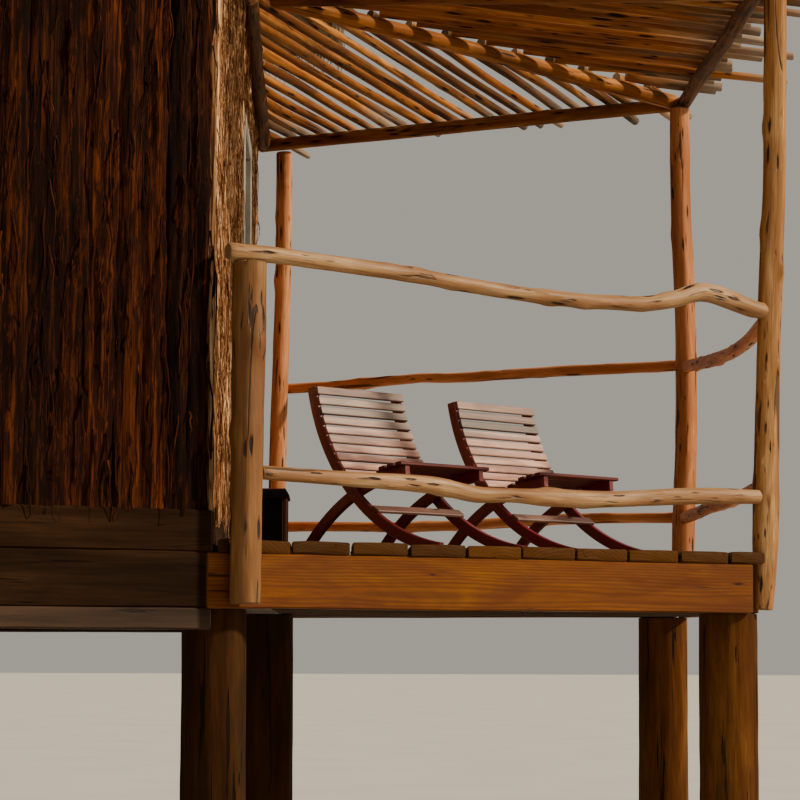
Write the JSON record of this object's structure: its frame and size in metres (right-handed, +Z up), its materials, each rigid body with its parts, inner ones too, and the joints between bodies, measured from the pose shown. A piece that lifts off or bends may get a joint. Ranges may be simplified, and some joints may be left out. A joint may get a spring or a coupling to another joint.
{
  "type": "tree house",
  "caption": "Tree house on log stilts: six-sided bark-clad cabin with a thatched hip roof and a half-hexagon log veranda with deck, rails, pole roof, two chairs and a box.",
  "frame": {"origin": "on the ground under the middle stilt of the door line, on the stilt's foot face", "axes": "+X from the cabin to the outer end of the veranda, +Y to the back, away from the picture's viewer, +Z up"},
  "size_m": [6.7502, 7.9388, 7.0154],
  "materials": {
    "stilt_log": "round log, rough, weathered",
    "beam_wood": "hewn beam, oiled, with dark patches",
    "floor_timber": "rough sawn, dark",
    "deck_wood": "planks, grey weathered",
    "bark_wall": "rough bark slabs, matt",
    "door_frame_wood": "planed timber, weathered pale",
    "peeled_log": "peeled round wood, satin",
    "roof_pole": "thin round poles with grey ends",
    "thatch": "dry palm and grass thatch, matt",
    "chair_wood": "stained dark red, satin",
    "box_wood": "dark stained, satin"
  },
  "bodies": {
    "root": {"veranda_stilts": "stilt_log", "cabin_stilts": "stilt_log", "front_fascia_beam": "beam_wood", "end_fascia_beam": "beam_wood", "back_fascia_beam": "beam_wood", "floor_beams": "floor_timber", "veranda_joists": "floor_timber", "cabin_joists": "floor_timber", "deck_boards": "deck_wood", "cabin_bearers": "floor_timber", "cabin_rim_beams": "beam_wood", "cabin_floor": "deck_wood", "wall_sills": "floor_timber", "front_wall": "bark_wall", "front_left_wall": "bark_wall", "left_wall": "bark_wall", "back_left_wall": "bark_wall", "back_wall": "bark_wall", "door_wall_front_part": "bark_wall", "door_wall_back_part": "bark_wall", "door_wall_head": "bark_wall", "door_frame": "door_frame_wood", "wall_plate_logs": "peeled_log", "ridge_and_hip_poles": "peeled_log", "rafters": "peeled_log", "cabin_thatch": "thatch", "ridge_cap": "thatch", "front_rail_post": "peeled_log", "front_corner_post": "peeled_log", "back_corner_post": "peeled_log", "back_wall_post": "peeled_log", "front_rails": "peeled_log", "end_rails": "peeled_log", "back_rails": "peeled_log", "veranda_plate_logs": "roof_pole", "veranda_hip_logs": "roof_pole", "front_roof_poles": "roof_pole", "end_roof_poles": "roof_pole", "back_roof_poles": "roof_pole", "left_chair_back_frame": "chair_wood", "left_chair_seat_frame": "chair_wood", "right_chair_back_frame": "chair_wood", "right_chair_seat_frame": "chair_wood", "lidded_box": "box_wood", "box_lid": "box_wood"}
  },
  "joints": []
}
